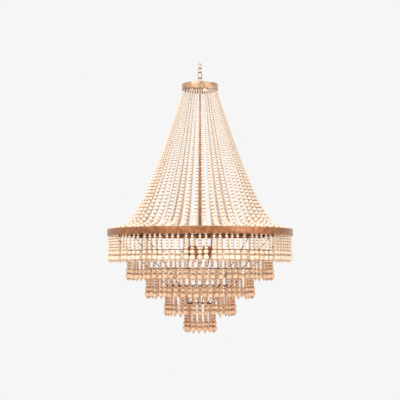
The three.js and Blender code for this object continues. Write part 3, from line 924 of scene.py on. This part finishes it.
def addDrape(chance):
    # Beads are threaded along the route. The width of the one at a distance s from its start, of l
    # in all, is topBead + (bottomBead - topBead) (s / l)^growth.
    route = drapeRoute()
    steps = np.linalg.norm(np.diff(route, axis=0), axis=1)
    along = np.concatenate([[0], np.cumsum(steps)])
    inside = (along > drape["topHook"]) & (along < along[-1] - drape["endHook"])
    run = along[inside]
    widening = drape["bottomBead"] - drape["topBead"]
    width = drape["topBead"] + widening * (run / along[-1]) ** drape["growth"]
    threaded = np.concatenate([[0], np.cumsum(np.diff(run) / width[1:])])  # beads down to here
    beads = int(round(threaded[-1]))
    middles = np.interp((np.arange(beads) + 0.5) * threaded[-1] / beads, threaded, run)
    even = np.interp(middles, run, width) * threaded[-1] / beads

    strands = drape["strands"]
    turns = evenTurns(strands, math.pi / strands)
    sizes = even * (1 + drape["sizeSpread"] * chance.uniform(-1, 1, (strands, beads)))
    sizes *= (run[-1] - run[0]) / sizes.sum(1, keepdims=True)
    place = run[0] + np.cumsum(sizes, 1) - sizes / 2
    slope = np.gradient(route, along, axis=0)
    aside = drape["sway"] * chance.uniform(-1, 1, (strands, 1))

    def routeAt(distance):
        # each strand bows a little to one side of its upright plane
        angle = turns[:, None] + aside * np.sin(math.pi * distance / along[-1])
        radius = np.interp(distance, along, route[:, 0])
        height = np.interp(distance, along, route[:, 1])
        places = np.cos(angle) * radius, np.sin(angle) * radius, height
        return angle, np.stack(np.broadcast_arrays(*places), -1)

    angle, centres = routeAt(place)
    leanOut = np.interp(place, along, slope[:, 0])
    leanUp = np.interp(place, along, slope[:, 1])
    axes = np.stack([np.cos(angle) * leanOut, np.sin(angle) * leanOut, leanUp], -1)
    strandTone = chance.uniform(0, drape["strandTone"], (strands, 1))
    tones = strandTone + chance.beta(*drape["toneChance"], (strands, beads)) * drape["beadTone"]
    tones = tones + drape["lowTone"] * place / along[-1]
    lacking = chance.integers(1, drape["bareBeads"] + 1, strands)
    bare = lacking * (chance.random(strands) < drape["bareChance"])
    shown = np.arange(beads)[None] >= bare[:, None]

    perArc = strands // drape["arcs"]
    for arc in range(drape["arcs"]):
        chosen = slice(arc * perArc, (arc + 1) * perArc)
        grids = (centres, axes, sizes, sizes, np.clip(tones, 0, 1))
        part, marks = beadCloud(*[grid[chosen][shown[chosen]] for grid in grids], chance)
        addPiece(f"drapeBeads{arc + 1}", {"washedWood": [part]}, [f"drape_arc_{arc + 1}"], marks=marks)

    lean, rise = math.radians(drape["topLeanDegrees"]), math.radians(drape["endRiseDegrees"])
    wire, reach = drape["wire"], hookForm["beadReach"]
    rings = [ringTube(*route[end], wire, segments) for end, segments in zip((0, -1), drape["ringSegments"])]
    shanks = np.take_along_axis(place - sizes / 2, bare[:, None], 1)[:, 0] + reach
    # Where beads lack, the long hook is wire, as at the bottom. The others are loops of thread.
    kinds = (bare > 0, bare == 0)
    wires, loops = [hooks(turns[some], *route[0], wire, shanks[some], lean) for some in kinds]
    low = hooks(turns, *route[-1], wire, drape["endHook"] + reach, -math.pi / 2 - rise)
    addPiece("drapeHangers", {"frameBronze": [*rings, wires, low]}, [])
    knots = np.linspace(run[0], run[-1], drape["threadSteps"])[None]
    threads = carried(routeAt(knots)[1], sideways(turns), circleSection(drape["threadWidth"] / 2, 4))
    addPiece("drapeThreads", {"thread": [threads, loops]}, [])
    print("drape:", strands * beads, "beads")


# Fringes

fringe = {
    "strands": (92, 68, 50, 32),
    "wire": 0.004,
    "arcSides": 4,
    "ringSides": 6,
    "ringSegments": 144,
    "lastRingSides": 16,
    "lastRingSegments": 128,
    "neck": 0.0028,  # from the wire's middle down to the first bead
    "beads": (0.0068, 0.0102, 0.0112, 0.0122, 0.0132, 0.0132, 0.0132, 0.0202, 0.0252, 0.0070),
    "tipWidth": 0.009,
    "widthShare": 1.13,  # all but the large bead and the tip are wider than tall
    "sizeSpread": 0.06,
    "lengthSpread": 0.015,
    "lengthShares": (0.995, 1.01, 1.02, 1.025, 0.985),  # of the beads' own length, by tier
    "asideDegrees": 0.6,
    "inwardDegrees": (0.9, 0.3, 0.3, 0.3),
    "outwardDegrees": (0.0, 2.0, 2.0, 1.5),
    "threadWidth": 0.0012,
    "strandTone": 0.5,
    "beadTone": 0.6,
    "toneChance": (1.2, 2.6),
    "tierTones": (0.0, 0.0, 0.1, 0.3, 0.5),  # how much deeper a tier's colour is
    "scatter": 0.32,  # how far a strand hangs off its even place, in strand spacings
    "partings": ((215,), (211,), (206, 317), ()),  # turns at which a tier's strands leave a gap
    "partingWidth": 0.42,
    "pushes": 60,  # rounds in which neighbours part
    "frontDegrees": 270,  # the turn at which one strand of a tier hangs in front of the stem
}


def hungTurns(tier, strands, radius, chance):
    # Even turns, each moved by chance and away from a parting by width exp(-d d / 8), where d is
    # its distance in spacings. Then neighbours whose large beads would meet part by equal halves.
    # The strand before the stem stays put, and so do the first tier's beside the spider's arms.
    even, pitch = evenTurns(strands), 2 * math.pi / strands
    moves = fringe["scatter"] * chance.uniform(-1, 1, strands)
    for parting in fringe["partings"][tier - 1]:
        away = ((even - math.radians(parting) + math.pi) % (2 * math.pi) - math.pi) / pitch
        moves += fringe["partingWidth"] * np.sign(away) * np.exp(-(away**2) / 8)
    free = (np.abs(even - math.radians(fringe["frontDegrees"])) > pitch / 3).astype(float)
    if tier == 1:
        quarter = 2 * math.pi / centre["arms"]
        free *= np.clip(np.abs(even % quarter - quarter / 2) / pitch - 0.5, 0, 1)
    turns = even + free * moves * pitch
    least = max(fringe["beads"]) / radius
    for _ in range(fringe["pushes"]):
        gaps = np.roll(turns, -1) - turns
        gaps[-1] += 2 * math.pi
        short = np.clip(least - gaps, 0, None) / 2
        turns += free * (np.roll(short, 1) - short)
    return turns


def strandParts(turns, radius, height, tier, chance):
    # Each strand hangs from the wire at (radius, height), and each bead touches the one above.
    sizes = np.array(fringe["beads"])
    strands, beads = len(turns), len(sizes)
    widths = sizes * (1 - fringe["sizeSpread"] * chance.uniform(0, 1, (strands, beads)))
    share, deeper = fringe["lengthShares"][tier - 1], fringe["tierTones"][tier - 1]
    lengths = sizes.sum() * (share + fringe["lengthSpread"] * chance.uniform(-1, 1, (strands, 1)))
    heights = widths * lengths / widths.sum(1, keepdims=True)
    widths[:, :-2] *= fringe["widthShare"]
    widths[:, -1] *= fringe["tipWidth"] / sizes[-1]
    below = fringe["neck"] + np.cumsum(heights, 1) - heights / 2
    inward, aside = np.zeros((2, strands))
    if tier <= len(fringe["strands"]):
        most = np.radians([fringe["inwardDegrees"][tier - 1], -fringe["outwardDegrees"][tier - 1]])
        inward = chance.uniform(most[1], most[0], strands)
        aside = math.radians(fringe["asideDegrees"]) * chance.uniform(-1, 1, strands)
    radial = np.stack([np.cos(turns), np.sin(turns), 0 * turns], -1)
    tangent = sideways(turns)
    down = unit(tangent * np.sin(aside)[:, None] - radial * np.sin(inward)[:, None] - [0, 0, 1])
    start = standing(turns, radius, height)[:, 0]
    centres = start[:, None] + down[:, None] * below[:, :, None]
    axes = np.broadcast_to(down[:, None], centres.shape)
    strandTone = chance.uniform(0, fringe["strandTone"], (strands, 1))
    beadTone = chance.beta(*fringe["toneChance"], (strands, beads)) * fringe["beadTone"]
    tones = np.clip(deeper + strandTone + beadTone, 0, 1)
    # The tip bead takes the deepest tone: painted shade for the dark dot under the large bead.
    tones[:, -1] = 1
    grids = (centres, axes, widths, heights, tones)
    cloud, marks = beadCloud(*[grid.reshape(-1, *grid.shape[2:]) for grid in grids], chance)
    ends = np.array([fringe["neck"], fringe["neck"] + sizes.sum() - sizes[-1] / 2])
    paths = start[:, None] + down[:, None] * ends[None, :, None]
    threads = carried(paths, tangent, circleSection(fringe["threadWidth"] / 2, 4))
    loops = hooks(turns, radius, height, fringe["wire"], fringe["neck"] + sizes[0] / 3)
    return cloud, marks, merged([threads, loops])


def addFringes(chance):
    for tier, strands in enumerate(fringe["strands"], 1):
        radius, height = ringOf(f"fringe_{tier}_arc", fringe["wire"], fringe["arcSides"])
        turns = hungTurns(tier, strands, radius, chance)
        wood = "creamWood" if tier == 1 else "naturalWood"
        cloud, marks, threads = strandParts(turns, radius, height, tier, chance)
        ring = ringTube(radius, height, fringe["wire"], fringe["ringSegments"])
        groups = {wood: [cloud], "thread": [threads], "frameBronze": [ring]}
        addPiece(f"fringe{tier}", groups, nodesOf(f"fringe_{tier}_arc"), marks=marks)

    # The last ring runs through the points on which the strands swing.
    height = ringOf("tier_ring_5", fringe["wire"], fringe["ringSides"])[1]
    middles = {name: pointsOf(name).mean(0) for name in nodesOf("strand_")}
    radius = offAxis(np.array([*middles.values()])).mean()
    section = circleSection(fringe["wire"] / 2, fringe["lastRingSides"]) + [radius, height]
    ring = turned(section, fringe["lastRingSegments"])
    addPiece("tier_ring_5", {"frameBronze": [ring]})
    for name, middle in middles.items():
        turn = np.array([math.atan2(middle[1], middle[0])])
        cloud, marks, threads = strandParts(turn, radius, height, len(fringe["strands"]) + 1, chance)
        addPiece(name, {"naturalWood": [cloud], "thread": [threads]}, body=name, marks=marks)
    print("fringes:", sum(fringe["strands"]) + len(nodesOf("strand_")), "strands")


# Rods and lamp cluster

rod = {
    "wire": 0.004,
    "sides": 12,
    "count": 8,
    "turnDegrees": 8,
    "places": (0, 0.002, 0.006, 0.994, 0.998, 1),  # shares of a rod's length
    "swell": (0.55, 0.88, 1, 1, 0.88, 0.55),  # its thickness there, less at its rounded ends
}


def addRods():
    # Each rod's axis runs between the ends of its own node, in the upright plane through the stem.
    for name, turn in zip(nodesOf("rod_"), evenTurns(rod["count"], math.radians(rod["turnDegrees"]))):
        points = pointsOf(name)
        flat = np.stack([points @ [math.cos(turn), math.sin(turn), 0], points[:, 2]], -1)
        along = unit(flat[flat[:, 1].argmax()] - flat[flat[:, 1].argmin()])
        reach = flat @ along
        ends = [flat[reach < reach.mean()].mean(0), flat[reach > reach.mean()].mean(0)]
        path = ends[0] + (ends[1] - ends[0]) * np.array(rod["places"])[:, None]
        section = circleSection(rod["wire"] / 2, rod["sides"])
        axis = standing([turn], path[:, 0], path[:, 1])
        tube = carried(axis, sideways([turn]), section, swell=rod["swell"])
        addPiece(name, {"frameBronze": [tube]}, edge=60)
    print("rods:", rod["count"])


hub = {
    "sides": 6,
    "leanDegrees": 18.7,  # of its roof, and so of the lampholders that stand on it
    "rimRadius": 0.064,
    "rimHeight": 0.005,
    "underRadius": 0.024,
    "underDrop": 0.009,
    "sleeveRadius": 0.015,
    "sleeveRounding": 0.0008,
    "spigotRadius": 0.0057,
    "spigotLength": 0.016,
    "segments": 48,
    "bevel": 0.0006,
}


def addHub():
    # A roof over a rim: its peak lies higher by rim radius times tan(lean) times cos(half a side).
    low, high = span("lamp_hub")
    rim, sides = hub["rimRadius"], hub["sides"]
    rimLow = low + hub["underDrop"]
    rimTop = rimLow + hub["rimHeight"]
    peak = rimTop + rim * math.tan(math.radians(hub["leanDegrees"])) * math.cos(math.pi / sides)
    outline = [[0, low], [hub["underRadius"], low], [rim, rimLow], [rim, rimTop], [0, peak]]
    roof = turned(outline, sides, closed=False, start=math.pi / sides)
    levels = [(hub["sleeveRadius"], high - hub["spigotLength"]), (hub["spigotRadius"], high)]
    sleeve = lathed(rimTop, levels, hub["sleeveRounding"], hub["segments"])
    addPiece("lamp_hub", {"holderBronze": [roof, sleeve]}, edge=25, bevel=hub["bevel"])
    return peak


finial = {
    "ballRadius": 0.010,
    "ballSteps": 20,
    "neckRadius": 0.004,
    "neckEnd": 0.8,  # as a share of the neck's radius
    "chamfer": 0.001,
    "capHeight": 0.002,
    "capSlope": 0.0005,
    "segments": 48,
}


def addFinial():
    # a ball between two necks: (radius, height) = (ball cos a, middle + ball sin a)
    low, high = span("hub_finial")
    ball, neck, capLow = finial["ballRadius"], finial["neckRadius"], high - finial["capHeight"]
    reach = math.pi / 2 - math.asin(neck / ball)
    curve = ball * circle(np.linspace(-reach, reach, finial["ballSteps"])) + [0, (low + high) / 2]
    outline = [[0, low], [neck * finial["neckEnd"], low], [neck, low + finial["chamfer"]], *curve]
    outline += [[neck, capLow - finial["capSlope"]], [ball, capLow], [ball, high], [0, high]]
    nut = turned(outline, finial["segments"], closed=False)
    addPiece("hub_finial", {"stemCopper": [nut]}, edge=40)


holder = {
    "circleRadius": 0.042,  # on which they stand
    "footRadius": 0.010,
    "footHeight": 0.005,
    "footGap": 0.0003,
    "shellRadius": 0.0135,
    "lipRadius": 0.015,
    "lipHeight": 0.004,
    "lipSlope": 0.0005,
    "lipRounding": 0.0006,
    "length": 0.040,
    "bore": 0.008,
    "boreFloor": 0.013,
    "boreRounding": 0.0008,
    "grooves": 4,
    "grooveDepth": 0.0007,
    "grooveMargin": 0.004,
    "segments": 40,
    "buttonRadius": 0.003,
    "buttonEdge": 0.0015,
    "buttonHeight": 0.0018,
    "buttonSegments": 16,
}


def holderParts():
    # A shell with a foot, grooves, a lip and a bore, and the contact button on the bore's floor. The
    # grooved wall's radius is shell - depth sin(u) sin(u).
    gap, shell, lip, bore = [holder[key] for key in ("footGap", "shellRadius", "lipRadius", "bore")]
    top, floor, margin = holder["length"], holder["boreFloor"], holder["grooveMargin"]
    lipLow, lipTop = top - holder["lipHeight"], top - holder["lipRounding"]
    ribs = np.linspace(holder["footHeight"] + margin, lipLow - margin, holder["grooves"] * 4 + 1)
    waves = np.sin(np.linspace(0, holder["grooves"] * math.pi, len(ribs))) ** 2
    outline = [[0, gap], [holder["footRadius"], gap], [shell, holder["footHeight"]]]
    outline += [*np.stack([shell - holder["grooveDepth"] * waves, ribs], -1)]
    outline += [[shell, lipLow], [lip, lipLow + holder["lipSlope"]]]
    outline += [[lip, lipTop], [lip - holder["lipRounding"], top]]
    outline += [[bore + holder["boreRounding"], top], [bore, top - holder["boreRounding"]]]
    outline += [[bore, floor], [0, floor]]
    wide = holder["buttonRadius"]
    button = [[0, floor], [wide, floor], [wide, floor + holder["buttonEdge"]]]
    button += [[0, floor + holder["buttonHeight"]]]
    return [
        turned(outline, holder["segments"], closed=False),
        turned(button, holder["buttonSegments"], closed=False),
    ]


def addHolders(peak):
    # Each leans outwards in its own upright plane: (out, up) = (x cos l + z sin l, z cos l - x sin l),
    # moved out to the circle and up to the hub's roof.
    lean, away = math.radians(hub["leanDegrees"]), holder["circleRadius"]
    parts = holderParts()
    for name, turn in zip(nodesOf("lampholder_"), evenTurns(hub["sides"])):
        placed = []
        for local, sets in parts:
            x, y, z = local.T
            out = x * math.cos(lean) + z * math.sin(lean) + away
            up = z * math.cos(lean) - x * math.sin(lean) + peak - away * math.tan(lean)
            placed.append(spun((np.stack([out, y, up], -1), sets), 1, turn))
        addPiece(name, {"holderBronze": placed[:1], "stemCopper": placed[1:]}, edge=40)


def addLamps():
    peak = addHub()
    addFinial()
    addHolders(peak)
    print("lamps:", len(nodesOf("lampholder_")), "lampholders, hub and finial")


chance = np.random.default_rng(41)  # every draw comes from here, in this order
addDrape(chance)
addFringes(chance)
addRods()
addLamps()
